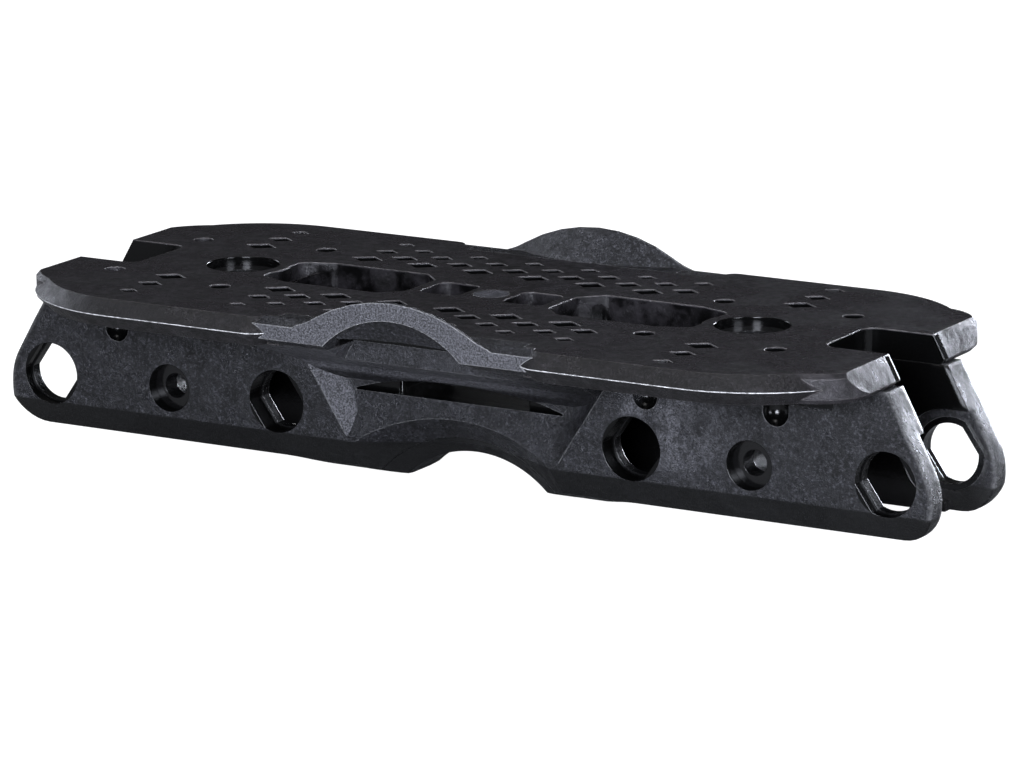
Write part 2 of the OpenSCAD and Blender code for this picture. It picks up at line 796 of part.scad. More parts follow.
// The inner face of the rail at each axle, which the ring is flush with
function ring_y(i) = well_half_w + (abs(axle_spots[i][0]) == axle_x_out ? hub_t : 0);

module right_rail() {
    mirror([0, 1, 0]) left_rail();
}

module axle_ring(i) {
    color(insert_colour) difference() {
        axle_hole(axle_spots[i], ring_y(i), ring_y(i) + ring_t, ring_seat - ring_gap);
        axle_hole(axle_spots[i], ring_y(i) - past, ring_y(i) + ring_t + past, -ring_ledge);
    }
}

module left_front_axle_ring() { axle_ring(0); }
module left_front_inner_axle_ring() { axle_ring(1); }
module left_rear_inner_axle_ring() { axle_ring(2); }
module left_rear_axle_ring() { axle_ring(3); }
module right_front_axle_ring() { mirror([0, 1, 0]) axle_ring(0); }
module right_front_inner_axle_ring() { mirror([0, 1, 0]) axle_ring(1); }
module right_rear_inner_axle_ring() { mirror([0, 1, 0]) axle_ring(2); }
module right_rear_axle_ring() { mirror([0, 1, 0]) axle_ring(3); }

// The block between the rails, with the grind groove under it
module grind_block() {
    half = axle_x_in;
    color(rail_colour) difference() {
        intersection() {
            across(-well_half_w, well_half_w) rail_side();
            along(-half, half) rail_section();
        }
        wheel_wells();
        groove_roller();
        lens_slot(slot_core_half_l);
        small_pockets();
    }
}

// A web closes the gap between the rails at a cross bolt. Its boss stays whole beside the wheel wells
module web(sx) {
    color(rail_colour) difference() {
        union() {
            difference() {
                across(-well_half_w, well_half_w)
                    translate([sx * cross_x - web_t / 2, deck_h - web_depth]) square([web_t, web_depth - plate_t]);
                wheel_wells();
            }
            across(-well_half_w, well_half_w)
                translate([sx * cross_x, deck_h - cross_depth]) circle(r = cross_r + web_boss_t);
        }
        across(-well_half_w - past, well_half_w + past)
            translate([sx * cross_x, deck_h - cross_depth]) circle(r = cross_r);
    }
}

module front_web() { web(1); }
module rear_web() { web(-1); }

// A flanged sleeve lines the rail's hole for a cross bolt
module sleeve(sx) {
    seat_y = rail_face_y - cross_seat_t;
    color(insert_colour) translate([sx * cross_x, 0, deck_h - cross_depth]) rotate([-90, 0, 0]) difference() {
        union() {
            translate([0, 0, well_half_w]) cylinder(r = cross_r + sleeve_wall, h = seat_y - well_half_w);
            translate([0, 0, seat_y]) cylinder(r = cross_seat_r - sleeve_gap, h = sleeve_flange_t);
        }
        translate([0, 0, well_half_w - past]) cylinder(r = cross_r, h = rail_face_y);
    }
}

module left_front_sleeve() { sleeve(1); }
module left_rear_sleeve() { sleeve(-1); }
module right_front_sleeve() { mirror([0, 1, 0]) sleeve(1); }
module right_rear_sleeve() { mirror([0, 1, 0]) sleeve(-1); }

// A washer on the floor of a frame bolt's counterbore
module bolt_washer(sx) {
    color(insert_colour) translate([sx * bolt_spacing / 2, 0, deck_h - bolt_seat_t]) difference() {
        cylinder(d = bolt_seat_d - 2 * washer_gap, h = washer_t);
        translate([0, 0, -past]) cylinder(d = bolt_d, h = washer_t + 2 * past);
    }
}

module front_bolt_washer() { bolt_washer(1); }
module rear_bolt_washer() { bolt_washer(-1); }

module centre_plug() {
    color(insert_colour) translate([0, 0, deck_h - plug_t])
        cylinder(d = plug_d - 2 * washer_gap, h = plug_t);
}

sole_plate();
left_arch();
right_arch();
left_rail();
right_rail();
grind_block();
front_web();
rear_web();
left_front_axle_ring();
left_front_inner_axle_ring();
left_rear_inner_axle_ring();
left_rear_axle_ring();
right_front_axle_ring();
right_front_inner_axle_ring();
right_rear_inner_axle_ring();
right_rear_axle_ring();
left_front_sleeve();
left_rear_sleeve();
right_front_sleeve();
right_rear_sleeve();
front_bolt_washer();
rear_bolt_washer();
centre_plug();
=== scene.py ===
"""Looks of the skate frame: finishes for every moulded solid, eight small pieces of trim and a plain studio.

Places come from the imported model's boxes where a box shows them. The sizes of forms that no box shows are
named below. All lengths are in metres and all names are a maker's own words.
"""

import math
from collections import namedtuple

import bpy
import numpy as np
from bpy.props import FloatProperty, FloatVectorProperty, PointerProperty
from mathutils import Euler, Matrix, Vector


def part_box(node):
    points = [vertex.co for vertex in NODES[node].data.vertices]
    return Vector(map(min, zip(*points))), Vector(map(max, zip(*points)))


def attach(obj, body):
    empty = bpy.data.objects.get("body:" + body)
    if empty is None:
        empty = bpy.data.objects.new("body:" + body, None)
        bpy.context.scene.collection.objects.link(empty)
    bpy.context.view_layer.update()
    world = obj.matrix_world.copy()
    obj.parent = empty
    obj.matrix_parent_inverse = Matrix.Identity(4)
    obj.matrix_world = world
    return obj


bl_info = {
    "name": "Skate frame looks",
    "version": (1, 0, 0),
    "blender": (4, 5, 0),
    "location": "View3D > Sidebar > Skate Frame",
    "description": "Finishes the moulded nylon frame of an aggressive inline skate and sets up its studio",
    "category": "Object",
}

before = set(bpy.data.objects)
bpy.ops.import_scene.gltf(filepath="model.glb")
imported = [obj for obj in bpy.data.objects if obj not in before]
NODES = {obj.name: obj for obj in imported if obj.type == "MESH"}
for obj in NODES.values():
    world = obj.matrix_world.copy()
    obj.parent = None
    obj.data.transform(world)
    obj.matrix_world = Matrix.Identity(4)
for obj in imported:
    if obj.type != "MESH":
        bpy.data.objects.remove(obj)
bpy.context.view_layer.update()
MM = 0.001

AXLES = ("front", "front_inner", "rear_inner", "rear")
SIDES = ("left", "right")
ENDS = ("front", "rear")
SIDE_WAY = {"left": 1.0, "right": -1.0}
END_WAY = {"front": 1.0, "rear": -1.0}

# Heights and places on the moulding, as the CAD has them
PLATE_H = 8.2 * MM
DECK_TOP = float(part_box("centre_plug")[1].z)
PLATE_UNDER = DECK_TOP - PLATE_H
RIM_RIDGE_Z = DECK_TOP - PLATE_H / 2
RAIL_HALF_L = float(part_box("right_rail")[1].x)
RAIL_FACE_Y = 22.7 * MM
CHANNEL_HALF_W = 13.4 * MM
BAND_TOP = DECK_TOP - 41.5 * MM
AXLE_R = 8.96 * MM
SCREW_SEAT_R = 6.84 * MM
ARCH_FACE_Y = float(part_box("left_arch")[1].y)
END_TOP_L = {"front": 130.5 * MM, "rear": 129.6 * MM}
END_LEAN = {"front": math.radians(28.0), "rear": math.radians(30.3)}

# The scoop on each rail's face and the slot in its floor
SCOOP_HALF_TOP = 54.6 * MM
SCOOP_HALF_BOTTOM = 33.5 * MM
SCOOP_LOW = DECK_TOP - 41.0 * MM
SCOOP_FLOOR_Y = 18.5 * MM
SLOT_LOW = DECK_TOP - 27.3 * MM
SLOT_H = 5.9 * MM
SLOT_TOP = SLOT_LOW + SLOT_H
SLOT_HALF_L = 35.0 * MM
GUSSET_Y = 51.5 * MM

# The fillets beside the scoops: their share of the full length at the bottom, the height over which they
# grow to it, how many points they have up the rail and along the section, and how far they stay off the ends
FILLET_START = 0.35
FILLET_GROWTH = 8 * MM
FILLET_ROWS, FILLET_STEPS = 41, 13
FILLET_GAP = 0.02 * MM

# The blind ends of the slot: thin backs inside the rails' walls, a little higher and lower than the slot
SLOT_END_STEPS = 15
SLOT_END_GAP = 0.5 * MM
SLOT_END_LAP = 0.15 * MM
SLOT_END_INSET = 0.3 * MM
SLOT_END_T = 1.5 * MM

# Where the zones of the finishes begin and end. X and Y are measured both ways from the middle of the frame,
# apart from the gussets' painted light and the rails' painted highlight, whose X runs towards the front end.
# RIM_STEEPEST_Z is the upright part of the normal below which a face counts as slanted
BORE_LAP, SEAT_LAP, BORE_FADE = 0.1 * MM, 0.15 * MM, 0.1 * MM
NOTCH_FROM_X = 101 * MM
NOTCH_HALF_W = CHANNEL_HALF_W + 2 * MM
POCKET_HALF_W = 15 * MM
POCKETS_TO_X = 74 * MM
HOLES_FROM_Y, HOLES_TO_Y = 15.4 * MM, 45 * MM
HOLES_TO_X = 108 * MM
RIM_FROM_Y = 46 * MM
RIM_STEEPEST_Z = 0.85
ARCH_EDGE_HIGHLIGHT_SHARE = 0.3
RIDGE_HALF_H = 0.7 * MM
BOLT_CHANNEL_LOW = DECK_TOP - 23 * MM
BOLT_CHANNEL_FROM_X, BOLT_CHANNEL_TO_X = 60 * MM, 118 * MM
GUSSET_TO_X = 50 * MM
GUSSET_LIT_TO_X = 15 * MM
RAIL_HIGHLIGHT_FROM_X, RAIL_HIGHLIGHT_TO_X = 58 * MM, 66 * MM
RAIL_HIGHLIGHT_H = 12 * MM
RAIL_END_W = 3.4 * MM

# A noise pattern: size of its blobs, octaves, roughness, and which of its values a ramp spreads out
Pattern = namedtuple("Pattern", "size octaves rough low high")
MOTTLE = Pattern(16 * MM, 4, 0.62, 0.34, 0.68)
CLOUDS = Pattern(3.4 * MM, 3, 0.65, 0.32, 0.7)
SPECKS = Pattern(0.8 * MM, 3, 0.8, 0.5, 0.68)
RUBS = Pattern(2.6 * MM, 5, 0.78, 0.52, 0.74)
RUB_PLACES = Pattern(30 * MM, 2, 0.5, 0.5, 0.64)
EDGE_CHIPS = Pattern(1.5 * MM, 3, 0.6, 0.3, 0.65)
GLASS_GRAINS = Pattern(0.5 * MM, 2, 0.7, 0.38, 0.66)
FILLET_LIGHT_PATCHES = Pattern(1.4 * MM, 3, 0.7, 0.3, 0.6)
RAIL_HIGHLIGHT_PATCHES = Pattern(11 * MM, 4, 0.7, 0.35, 0.65)
POCKET_PATCHES = Pattern(9 * MM, 3, 0.6, 0.4, 0.62)

# The moulded grain: size, octaves and roughness of each kind of bump, and its share of the height
FINE_BUMPS, FINE_SHARE = (0.55 * MM, 3, 0.8), 2.0
WAVES, WAVE_SHARE = (2.4 * MM, 3, 0.55), 1.5
SWELLS, SWELL_SHARE = (9 * MM, 2, 0.5), 4.0

# Body tones of pieces that have no setting of their own, as multiples of one that has
ARCH_SHARE_OF_RAIL, WEB_SHARE_OF_SHADE, PLUG_SHARE_OF_DECK = 1.5, 1.5, 4.0

# Tones of the nylon, as multiples of its body tone
MOTTLE_DARK, MOTTLE_LIGHT, CLOUD_LIGHT = 0.25, 1.6, 3.4
CLOUD_SHARE = 0.6

# Tones of the pale zones, as multiples of the arches' tone. On the rails, gussets and fillets these zones are
# painted light
PALE_DARK, PALE_LIGHT, GRAIN_LIGHT = 0.5, 1.2, 2.6
PALE_COOLNESS = 0.1

# What is added to the roughness of the nylon
MOTTLE_DULL, MOTTLE_GLOSS = 0.13, -0.1
CLOUD_GLOSS, EDGE_GLOSS, SHADE_DULL = -0.16, -0.2, 0.16

# What a polished zone takes off the strength of the grain
POLISH_FLATTENS = -0.93

# Edges: cosine between the eased and the true normal on a flat face and on a sharp edge, how many rays ease
# them, and the least share on them of the paler edge tone, which is wear and painted highlight
EDGE_FLAT, EDGE_SHARP = 0.99, 0.9
BEVEL_SAMPLES, FINE_BEVEL_SAMPLES = 8, 6
CHIP_LEAST = 0.25

# Rubs run along the frame
RUB_STRETCH = (0.45, 1.0, 1.2)
NYLON_IOR = 1.5

# Machined parts: mottling, worn edges, the fine rings that the tool left, and how the roughness spreads
TURNED_MOTTLE = (1.6 * MM, 3, 0.6)
TURNED_EDGE_R = 0.25 * MM
TURNED_EDGE_FLAT = 0.995
TURNED_DARK, TURNED_LIGHT, TURNED_EDGE = 0.7, 1.35, 3.2
TURNED_COOLNESS = 0.06
TURNED_EDGE_SHARE = 0.5
TURNED_RINGS = (2, 0.6)
TURNED_STRETCH = (1.0, 0.15, 1.0)
TURNED_BUMP, TURNED_DEPTH = 0.25, 0.02 * MM
TURNED_SPREAD = (0.2, 0.8)
TURNED_GLOSS, TURNED_DULL = -0.05, 0.1

# The studio's soft lamps: the setting that holds the power, name, place, target, and width and height
FRAME_MIDDLE = (0.0, 0.0, 0.03)
LAMPS = (
    ("key", "key_soft", (0.32, -0.95, 0.28), (0.06, 0.0, 0.03), (0.35, 0.35)),
    ("fill", "fill_soft", (1.2, -0.35, 0.4), FRAME_MIDDLE, (0.5, 0.5)),
    ("back", "far_side_soft", (0.1, 1.2, 0.14), FRAME_MIDDLE, (0.5, 0.25)),
    ("rear", "rear_soft", (-1.1, 0.25, 0.3), FRAME_MIDDLE, (0.5, 0.5)),
)
# The light overhead, the camera's sensor in millimetres, its clipping, and the paper on the floor
SUN_SPREAD = math.radians(35)
SUN_TURN = (math.radians(12), math.radians(-10), 0.0)
SENSOR_W = 36.0
CLIP = (0.05, 60.0)
CAMERA_TURN = tuple(math.radians(a) for a in (76.65286, 0.394483, 30.389149))
PAPER_TONES = (0.3, 0.32)
PAPER_BLOBS = 0.5
PAPER_ROUGHNESS, PAPER_SHEEN = 0.9, 0.1
WHITE = (1.0, 1.0, 1.0, 1.0)


def middle_of(node):
    """Centre of a CAD node's box."""
    low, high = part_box(node)
    return (low + high) / 2


def width_of(node):
    """Size of a CAD node's box."""
    low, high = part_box(node)
    return high - low


# Shader desk: a short way to write node trees


class ShaderDesk:
    """One material's node tree, with a call for each kind of sum that the finishes need."""

    def __init__(self, name):
        self.material = bpy.data.materials.new(name)
        self.material.use_nodes = True
        self.tree = self.material.node_tree
        self.tree.nodes.clear()
        self.output = self.tree.nodes.new("ShaderNodeOutputMaterial")
        self.shader = self.tree.nodes.new("ShaderNodeBsdfPrincipled")
        self.tree.links.new(self.shader.outputs["BSDF"], self.output.inputs["Surface"])
        self.place = self.add("ShaderNodeTexCoord").outputs["Object"]
        self.true_normal = self.add("ShaderNodeNewGeometry").outputs["Normal"]

    def add(self, kind, inputs=None, **settings):
        """A new node. Sockets are linked, and plain values are set."""
        node = self.tree.nodes.new(kind)
        for key, value in settings.items():
            setattr(node, key, value)
        for key, value in (inputs or {}).items():
            self.give(node.inputs[key], value)
        return node

    def give(self, socket, value):
        """Link a socket, or set its value."""
        if isinstance(value, bpy.types.NodeSocket):
            self.tree.links.new(value, socket)
        else:
            socket.default_value = value

    def sum(self, operation, *values):
        node = self.add("ShaderNodeMath", operation=operation)
        for i, value in enumerate(values):
            self.give(node.inputs[i], value)
        return node.outputs[0]

    def vector(self, operation, *values):
        node = self.add("ShaderNodeVectorMath", operation=operation)
        for i, value in enumerate(values):
            self.give(node.inputs[i], value)
        return node.outputs["Value"] if operation in ("LENGTH", "DOT_PRODUCT") else node.outputs["Vector"]

    def ramp(self, value, low, high, to_low=0.0, to_high=1.0):
        """value carried from low..high to to_low..to_high along a smooth step."""
        node = self.add(
            "ShaderNodeMapRange",
            {"Value": value, "From Min": low, "From Max": high, "To Min": to_low, "To Max": to_high},
            interpolation_type="SMOOTHSTEP",
        )
        return node.outputs["Result"]

    def above(self, value, edge, soft):
        """1 where value is over edge, and 0 where it is under edge - soft."""
        return self.ramp(value, edge - soft, edge)

    def below(self, value, edge, soft):
        """1 where value is under edge, and 0 where it is over edge + soft."""
        return self.ramp(value, edge + soft, edge)

    def blend(self, share, a, b):
        """Colour a where share is 0 and colour b where it is 1."""
        node = self.add("ShaderNodeMix", data_type="RGBA")
        self.give(node.inputs[0], share)
        self.give(node.inputs[6], a)
        self.give(node.inputs[7], b)
        return node.outputs[2]

    def stretched(self, sx, sy, sz):
        """Object coordinates scaled per axis."""
        return self.vector("MULTIPLY", self.place, (sx, sy, sz))

    def noise(self, size, detail, rough=0.5, vector=None):
        """Noise whose blobs are about size across, in metres."""
        node = self.add(
            "ShaderNodeTexNoise",
            {"Vector": vector or self.place, "Scale": 1.0 / size, "Detail": detail, "Roughness": rough},
        )
        return node.outputs["Fac"]

    def patches(self, pattern, to_low=0.0, to_high=1.0, vector=None):
        """A noise pattern with its middle values spread over to_low..to_high."""
        noise = self.noise(pattern.size, pattern.octaves, pattern.rough, vector)
        return self.ramp(noise, pattern.low, pattern.high, to_low, to_high)

    def coordinate(self, axis):
        return self.add("ShaderNodeSeparateXYZ", {"Vector": self.place}).outputs[axis]

    def across(self):
        """How far a point lies from the middle plane that runs along the frame."""
        return self.sum("ABSOLUTE", self.coordinate("Y"))

    def along(self):
        """How far a point lies from the middle plane that runs across the frame."""
        return self.sum("ABSOLUTE", self.coordinate("X"))

    def normal_part(self, axis):
        return self.add("ShaderNodeSeparateXYZ", {"Vector": self.true_normal}).outputs[axis]

    def eased_normal(self, radius, samples):
        """The normal as if the edges had this radius."""
        return self.add("ShaderNodeBevel", {"Radius": radius}, samples=samples).outputs["Normal"]

    def bumped(self, height, share, depth, normal):
        """normal, tilted by a relief that is depth high where height changes by 1."""
        sockets = {"Height": height, "Strength": share, "Distance": depth, "Normal": normal}
        return self.add("ShaderNodeBump", sockets).outputs["Normal"]

    def near_line(self, centre, axes, radius, soft):
        """1 inside a cylinder whose axis runs along the axis that axes leaves out."""
        keep = [1.0 if i in axes else 0.0 for i in range(3)]
        away = self.vector("SUBTRACT", self.place, tuple(centre))
        flat = self.vector("MULTIPLY", away, tuple(keep))
        return self.below(self.vector("LENGTH", flat), radius, soft)

    def any_of(self, masks):
        """The largest of several masks."""
        total = masks[0]
        for mask in masks[1:]:
            total = self.sum("MAXIMUM", total, mask)
        return total

    def all_of(self, *masks):
        """The product of several masks."""
        total = masks[0]
        for mask in masks[1:]:
            total = self.sum("MULTIPLY", total, mask)
        return total

    def zones(self, makers):
        """One mask for several zones, from the functions that make them."""
        return self.any_of([maker(self) for maker in makers])


def grey(value, warm=0.0, cool=0.0):
    """A near-neutral linear colour, with a little red or blue in it."""
    return (value * (1 + warm), value, value * (1 + cool) * (1 - 0.3 * warm), 1.0)


def nylon(
    name, finish, body, speck, grain_h, scuffs=0.0, warm=0.0,
    polished_and_painted_shade=(), shaded=(), dimmed_by_painted_shade=(), pale_and_painted_light=(), soft_edges=(), painted_highlight_edges=(),
):
    """Glass-filled nylon: mottled body colour, pale specks, scuffs, worn edges with a painted highlight and a
    moulded grain.

    The last six hold functions that make zones. Each takes the desk and returns 1 in its zone: where the
    mould was polished and a near-black painted shade is laid on, where painted shade makes the nylon dark and
    smooth, where painted shade makes it a little darker, where it is a paler grey (painted light on the
    rails, gussets and fillets), where edges are well rounded, and where a bright highlight is painted on
    edges.
    """
    desk = ShaderDesk(name)
    clear = desk.sum("SUBTRACT", 1.0, desk.zones(shaded)) if shaded else 1.0
    mottle = desk.patches(MOTTLE)
    clouds = desk.patches(CLOUDS)
    specks = desk.patches(SPECKS)
    rubs = desk.patches(RUBS, vector=desk.stretched(*RUB_STRETCH))
    rub_places = desk.patches(RUB_PLACES)
    rubbed = desk.all_of(desk.all_of(rubs, clear), desk.all_of(rub_places, scuffs))

    radius = finish.edge_radius
    if soft_edges:
        radius = desk.sum("MULTIPLY_ADD", desk.zones(soft_edges), finish.soft_edge_radius - radius, radius)
    eased = desk.eased_normal(radius, BEVEL_SAMPLES)
    edge = desk.ramp(desk.vector("DOT_PRODUCT", eased, desk.true_normal), EDGE_FLAT, EDGE_SHARP)
    edge_wear_and_highlight = desk.all_of(edge, desk.patches(EDGE_CHIPS, CHIP_LEAST))

    cool = finish.coolness
    tone = desk.blend(mottle, grey(body * MOTTLE_DARK, warm), grey(body * MOTTLE_LIGHT, warm, cool))
    tone = desk.blend(desk.all_of(clouds, CLOUD_SHARE), tone, grey(body * CLOUD_LIGHT, warm, cool))
    # Painted shade: the rim's slanted faces are darkened towards the gloss tone
    if dimmed_by_painted_shade:
        rim_shade_share = desk.all_of(desk.zones(dimmed_by_painted_shade), finish.rim_shade_share)
        tone = desk.blend(rim_shade_share, tone, grey(finish.gloss_shade_tone, warm))
    # Pale zones: a paler grey, which on the rails, gussets and fillets is painted light
    if pale_and_painted_light:
        light = grey(finish.arch_tone * PALE_LIGHT, cool=PALE_COOLNESS)
        pale_and_painted_light_tone = desk.blend(clouds, grey(finish.arch_tone * PALE_DARK), light)
        between = desk.blend(0.5, pale_and_painted_light_tone, grey(finish.gloss_shade_tone))
        grain_tone = grey(finish.arch_tone * GRAIN_LIGHT, cool=PALE_COOLNESS)
        pale_and_painted_light_tone = desk.blend(desk.patches(GLASS_GRAINS), between, grain_tone)
        tone = desk.blend(desk.zones(pale_and_painted_light), tone, pale_and_painted_light_tone)
    speck_share = desk.all_of(desk.all_of(specks, clear), speck)
    tone = desk.blend(speck_share, tone, grey(finish.speck_tone, warm, cool))
    tone = desk.blend(rubbed, tone, grey(finish.scuff_tone, warm, cool))
    # Edges take a paler tone that is partly wear and partly painted highlight
    tone = desk.blend(desk.all_of(edge_wear_and_highlight, finish.edge_wear_and_highlight), tone, grey(finish.edge_wear_highlight_tone, warm))
    # Painted highlight: a bright tone on the edges in these zones
    if painted_highlight_edges:
        tone = desk.blend(desk.all_of(desk.zones(painted_highlight_edges), edge_wear_and_highlight), tone, grey(finish.ridge_highlight_tone))

    rough = desk.ramp(mottle, 0.0, 1.0, finish.roughness + MOTTLE_DULL, finish.roughness + MOTTLE_GLOSS)
    rough = desk.sum("MULTIPLY_ADD", clouds, CLOUD_GLOSS, rough)
    rough = desk.sum("MULTIPLY_ADD", edge, EDGE_GLOSS, rough)
    height = desk.sum("MULTIPLY", desk.noise(*FINE_BUMPS), FINE_SHARE)
    height = desk.sum("MULTIPLY_ADD", desk.noise(*WAVES), WAVE_SHARE, height)
    height = desk.sum("MULTIPLY_ADD", desk.noise(*SWELLS), SWELL_SHARE, height)
    bump_share = grain_h
    # Painted shade: the rails' bottom band and the grind block's groove take a darker, duller tone
    if shaded:
        tone = desk.blend(clear, grey(finish.shade_tone, warm), tone)
        rough = desk.sum("MULTIPLY_ADD", desk.sum("SUBTRACT", 1.0, clear), SHADE_DULL, rough)
    # Polished zones: a lower roughness and a flatter grain, and a near-black painted shade in the holes,
    # notches, channels and slots
    if polished_and_painted_shade:
        polished_shade_share = desk.zones(polished_and_painted_shade)
        dull = desk.sum("SUBTRACT", 1.0, polished_shade_share)
        tone = desk.blend(polished_shade_share, tone, grey(finish.gloss_shade_tone))
        rough = desk.sum("MULTIPLY_ADD", polished_shade_share, finish.gloss_roughness, desk.all_of(rough, dull))
        bump_share = desk.all_of(desk.sum("MULTIPLY_ADD", polished_shade_share, POLISH_FLATTENS, 1.0), grain_h)
    desk.give(desk.shader.inputs["Base Color"], tone)
    desk.give(desk.shader.inputs["Roughness"], rough)
    desk.give(desk.shader.inputs["Normal"], desk.bumped(height, bump_share, finish.grain_depth, eased))
    desk.shader.inputs["IOR"].default_value = NYLON_IOR
    desk.shader.inputs["Specular IOR Level"].default_value = finish.sheen_level
    return desk.material


def machined(name, tone, roughness, metallic, turned_size):
    """A small turned or stamped part: fine rings of machining, faint mottling and bright worn edges."""
    desk = ShaderDesk(name)
    mottle = desk.noise(*TURNED_MOTTLE)
    eased = desk.eased_normal(TURNED_EDGE_R, FINE_BEVEL_SAMPLES)
    edge = desk.ramp(desk.vector("DOT_PRODUCT", eased, desk.true_normal), TURNED_EDGE_FLAT, EDGE_SHARP)
    colour = desk.blend(mottle, grey(tone * TURNED_DARK), grey(tone * TURNED_LIGHT, cool=TURNED_COOLNESS))
    colour = desk.blend(desk.all_of(edge, TURNED_EDGE_SHARE), colour, grey(min(1.0, tone * TURNED_EDGE)))
    rings = desk.noise(turned_size, *TURNED_RINGS, desk.stretched(*TURNED_STRETCH))
    rough = desk.ramp(mottle, *TURNED_SPREAD, roughness + TURNED_GLOSS, roughness + TURNED_DULL)
    desk.give(desk.shader.inputs["Base Color"], colour)
    desk.give(desk.shader.inputs["Roughness"], rough)
    desk.give(desk.shader.inputs["Normal"], desk.bumped(rings, TURNED_BUMP, TURNED_DEPTH, eased))
    desk.shader.inputs["Metallic"].default_value = metallic
    return desk.material


def dress(node, material):
    """Put a finish on a CAD node through its object's own slots. Its mesh stays as it is."""
    piece = NODES[node]
    if not piece.material_slots:
        piece.data.materials.append(None)
    for slot in piece.material_slots:
        slot.link = "OBJECT"
        slot.material = material


# Zones of the moulding. Each returns 1 inside. The last value of above and below is how far the zone fades


def bores(desk, nodes, axes, radius):
    """Round bores whose middles are those of the nodes, and a little of their edges."""
    return desk.any_of([desk.near_line(middle_of(node), axes, radius, BORE_FADE) for node in nodes])


def bolt_seat_zone(desk):
    """The two frame-bolt counterbores, upright."""
    washers = [f"{end}_bolt_washer" for end in ENDS]
    return bores(desk, washers, (0, 1), width_of(washers[0]).x / 2 + SEAT_LAP)


def axle_zone(desk):
    """The walls of the axle holes, across the frame."""
    return bores(desk, [f"right_{name}_axle_ring" for name in AXLES], (0, 2), AXLE_R + BORE_LAP)


def cross_bolt_zone(desk):
    """The seats round the cross bolts, across the frame."""
    return bores(desk, [f"right_{end}_sleeve" for end in ENDS], (0, 2), SCREW_SEAT_R + BORE_LAP)


def channel_zone(desk):
    """The faces that the wheels run between."""
    return desk.below(desk.across(), CHANNEL_HALF_W + 0.1 * MM, 0.3 * MM)


def bolt_channel_zone(desk):
    """The half-round channels in the rails' faces, right under the rim."""
    along = desk.along()
    return desk.all_of(
        desk.above(desk.coordinate("Z"), BOLT_CHANNEL_LOW, 1 * MM),
        desk.below(desk.across(), RAIL_FACE_Y - 0.3 * MM, 0.2 * MM),
        desk.all_of(
            desk.above(along, BOLT_CHANNEL_FROM_X, 2 * MM), desk.below(along, BOLT_CHANNEL_TO_X, 2 * MM)
        ),
    )


def arch_face_zone(desk):
    """The upright outer faces of the side arches."""
    return desk.above(desk.across(), ARCH_FACE_Y - 0.05 * MM, 0.2 * MM)


def arch_edge_highlight_zone(desk):
    """Where the side arches' outer faces end, at less than full strength: a painted highlight along their
    edges.
    """
    return desk.ramp(desk.across(), ARCH_FACE_Y - 0.9 * MM, ARCH_FACE_Y - 0.6 * MM, 0.0, ARCH_EDGE_HIGHLIGHT_SHARE)


def rim_painted_shade_zone(desk):
    """The slanted faces of the sole plate's rim, known by how far their normal leans from upright, where
    shade is painted on as a darker tone.
    """
    upright = desk.sum("ABSOLUTE", desk.normal_part("Z"))
    slanted = desk.below(upright, RIM_STEEPEST_Z, 0.08)
    return desk.all_of(slanted, desk.above(desk.across(), RIM_FROM_Y, 1 * MM))


def ridge_highlight_zone(desk):
    """The ridge where the two slanted faces of the rim meet, where a bright highlight is painted on."""
    away = desk.sum("ABSOLUTE", desk.sum("SUBTRACT", desk.coordinate("Z"), RIM_RIDGE_Z))
    close = desk.below(away, RIDGE_HALF_H, 0.3 * MM)
    return desk.all_of(close, desk.above(desk.across(), RIM_FROM_Y, 1 * MM))


def everywhere(desk):
    """The whole piece, which lies far above the low end of this ramp."""
    return desk.above(desk.coordinate("Z"), -0.9, 0.1)


def above_band_zone(desk):
    """Everything above the band along the bottom of the rails."""
    return desk.above(desk.coordinate("Z"), BAND_TOP + 1.4 * MM, 1 * MM)


def slot_zone(desk):
    """The walls of the lens slot."""
    z = desk.coordinate("Z")
    return desk.all_of(
        desk.below(desk.across(), SCOOP_FLOOR_Y - 0.3 * MM, 0.2 * MM),
        desk.below(desk.along(), SLOT_HALF_L + 1 * MM, 0.2 * MM),
        desk.all_of(
            desk.above(z, SLOT_LOW - 0.2 * MM, 0.2 * MM), desk.below(z, SLOT_TOP + 0.2 * MM, 0.2 * MM)
        ),
    )


def fillet_painted_light_zone(desk):
    """The steep part of the fillets that face the front end, where light is painted on as a paler grey in
    patches.
    """
    return desk.all_of(desk.above(desk.normal_part("X"), 0.2, 0.18), desk.patches(FILLET_LIGHT_PATCHES, 0.85, 1.0))


def gusset_painted_light_zone(desk):
    """The faces under the side arches that lean out from the slot to the sole plate, where light is painted
    on as a paler grey.

    Faces that look down take the full share and upright ones a fifth. It fades towards the front end.
    """
    return desk.all_of(
        desk.above(desk.across(), SCOOP_FLOOR_Y + 1 * MM, 1 * MM),
        desk.below(desk.along(), GUSSET_TO_X, 6 * MM),
        desk.ramp(desk.normal_part("Z"), -0.2, -0.5, 0.2, 1.0),
        desk.below(desk.coordinate("X"), GUSSET_LIT_TO_X, 30 * MM),
        desk.above(desk.coordinate("Z"), SLOT_TOP + 1 * MM, 2 * MM),
    )


def rail_highlight_zone(desk):
    """Where a highlight is painted on the rails' outer faces as a paler grey, in front of each scoop."""
    x = desk.coordinate("X")
    return desk.all_of(
        desk.all_of(desk.above(x, RAIL_HIGHLIGHT_FROM_X, 8 * MM), desk.below(x, RAIL_HIGHLIGHT_TO_X, 32 * MM)),
        desk.above(desk.across(), RAIL_FACE_Y - 0.1 * MM, 0.2 * MM),
        desk.above(desk.coordinate("Z"), BAND_TOP + RAIL_HIGHLIGHT_H, RAIL_HIGHLIGHT_H),
        desk.patches(RAIL_HIGHLIGHT_PATCHES),
    )


